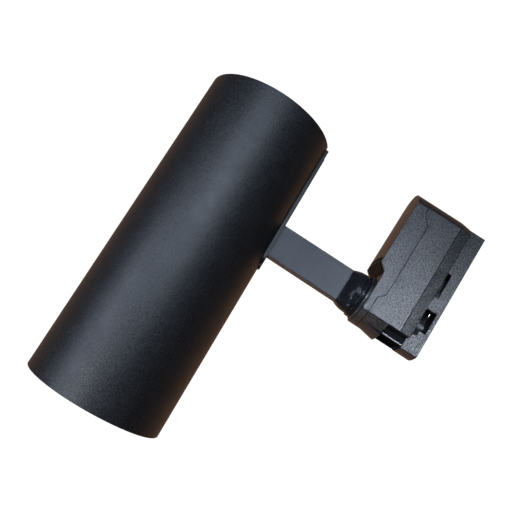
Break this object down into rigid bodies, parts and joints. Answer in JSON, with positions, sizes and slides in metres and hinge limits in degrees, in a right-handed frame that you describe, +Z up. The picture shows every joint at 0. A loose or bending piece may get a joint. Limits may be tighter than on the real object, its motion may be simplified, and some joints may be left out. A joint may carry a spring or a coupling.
{
  "type": "track spotlight",
  "caption": "Cylinder track spotlight: black tube head with lens and heat sink on a flat folding arm, swivelling under a plug-in track adapter with a turning lock lever.",
  "frame": {"origin": "on the swivel axis, in the plane of the shoulder that bears on the track's underside", "axes": "+Z up into the track, +X along the adapter towards the lens end at rest, +Y across the adapter"},
  "size_m": [0.2135, 0.085, 0.1966],
  "materials": {
    "housing_black": "fine textured matt powder coat",
    "channel_black": "matt powder coat",
    "arm_black": "satin powder coat",
    "knuckle_gloss": "glossy black",
    "adapter_black": "strongly grained moulding",
    "grip_black": "matt moulding",
    "lever_grey": "satin moulding",
    "rotor_grey": "satin moulding",
    "contact_silver": "silver plated",
    "bright_steel": "zinc plated",
    "black_steel": "black oxide",
    "washer_nylon": "natural nylon",
    "seal_rubber": "soft black",
    "wire_jacket": "insulated wire",
    "led_wire": "insulated wire",
    "rod_aluminium": "turned",
    "sink_aluminium": "die cast",
    "driver_white": "moulded",
    "board_green": "solder mask",
    "coil_yellow": "taped coil",
    "capacitor_sleeve": "shrink sleeve",
    "pad_grey": "thermal pad",
    "led_white": "ceramic",
    "phosphor_yellow": "phosphor",
    "reflector_bright": "anodised bright",
    "clear_glass": "clear",
    "bezel_black": "matt black",
    "terminal_brass": "brass"
  },
  "bodies": {
    "adapter": {"adapter_base": "adapter_black", "adapter_body": "adapter_black", "track_insert": "adapter_black", "mechanism_plate": "grip_black", "terminal_block": "driver_white", "terminal_screws": "terminal_brass", "adapter_leads": "wire_jacket", "housing_screws": "bright_steel", "earth_contact": "terminal_brass", "detent_spring": "bright_steel"},
    "arm": {"arm_bar": "arm_black", "knuckle_shell": "knuckle_gloss", "arm_screws": "bright_steel", "swivel_ring": "knuckle_gloss", "swivel_stem": "bright_steel", "thrust_washer": "bright_steel", "stem_nut": "bright_steel", "arm_leads": "wire_jacket"},
    "head": {"tube_housing": "housing_black", "rear_cap": "housing_black", "rear_cap_screws": "bright_steel", "tube_screws": "black_steel", "arm_channel": "channel_black", "tilt_bolt": "bright_steel", "tilt_nut": "bright_steel", "friction_washers": "washer_nylon", "channel_grommet": "seal_rubber", "head_leads": "wire_jacket", "tie_rods": "rod_aluminium", "driver_brackets": "bright_steel", "driver_case": "driver_white", "driver_lid": "driver_white", "driver_board": "board_green", "transformer": "coil_yellow", "capacitors": "capacitor_sleeve", "driver_terminals": "driver_white", "heat_sink": "sink_aluminium", "thermal_pad": "pad_grey", "led_board": "led_white", "led_phosphor": "phosphor_yellow", "led_holder": "driver_white", "holder_screws": "bright_steel", "led_leads": "led_wire", "reflector": "reflector_bright", "glass_gasket": "seal_rubber", "front_glass": "clear_glass", "retaining_ring": "bezel_black", "front_bezel": "bezel_black"},
    "lock": {"lock_lever": "lever_grey", "lock_shaft": "bright_steel"},
    "link": {"link_bar": "bright_steel"},
    "contact": {"contact_rotor": "rotor_grey", "contact_finger": "contact_silver"},
    "tongue": {"tongue_rotor": "rotor_grey", "lock_tongue": "bright_steel"},
    "selector": {"selector_slide": "grip_black"}
  },
  "joints": [
    {"name": "swivel", "type": "hinge", "parent": "adapter", "child": "arm", "pos_m": [0, 0, -0.0315], "axis": [0, 0, 1], "range_deg": [-160, 160]},
    {"name": "head_tilt", "type": "hinge", "parent": "arm", "child": "head", "pos_m": [0, 0, -0.1138], "axis": [0, 1, 0], "range_deg": [0, 92.9]},
    {"name": "lock_turn", "type": "hinge", "parent": "adapter", "child": "lock", "pos_m": [0.01065, 0.00035, -0.0155], "axis": [0, 0, 1], "range_deg": [0, 90]},
    {"name": "link_swing", "type": "hinge", "parent": "lock", "child": "link", "pos_m": [0.01065, 0.00485, -0.0198], "axis": [0, 0, 1], "range_deg": [-90, 0]},
    {"name": "contact_turn", "type": "hinge", "parent": "adapter", "child": "contact", "pos_m": [-0.00325, -0.005, -0.0155], "axis": [0, 0, 1], "range_deg": [0, 90]},
    {"name": "tongue_turn", "type": "hinge", "parent": "adapter", "child": "tongue", "pos_m": [-0.0258, -0.005, -0.0155], "axis": [0, 0, 1], "range_deg": [0, 90]},
    {"name": "circuit_slide", "type": "slide", "parent": "adapter", "child": "selector", "axis": [0, 1, 0], "range_m": [-0.003, 0.003]}
  ],
  "couplings": [
    {"joint": "link_swing", "follows": "lock_turn", "ratio": -1},
    {"joint": "contact_turn", "follows": "lock_turn", "ratio": 1},
    {"joint": "tongue_turn", "follows": "lock_turn", "ratio": 1}
  ]
}
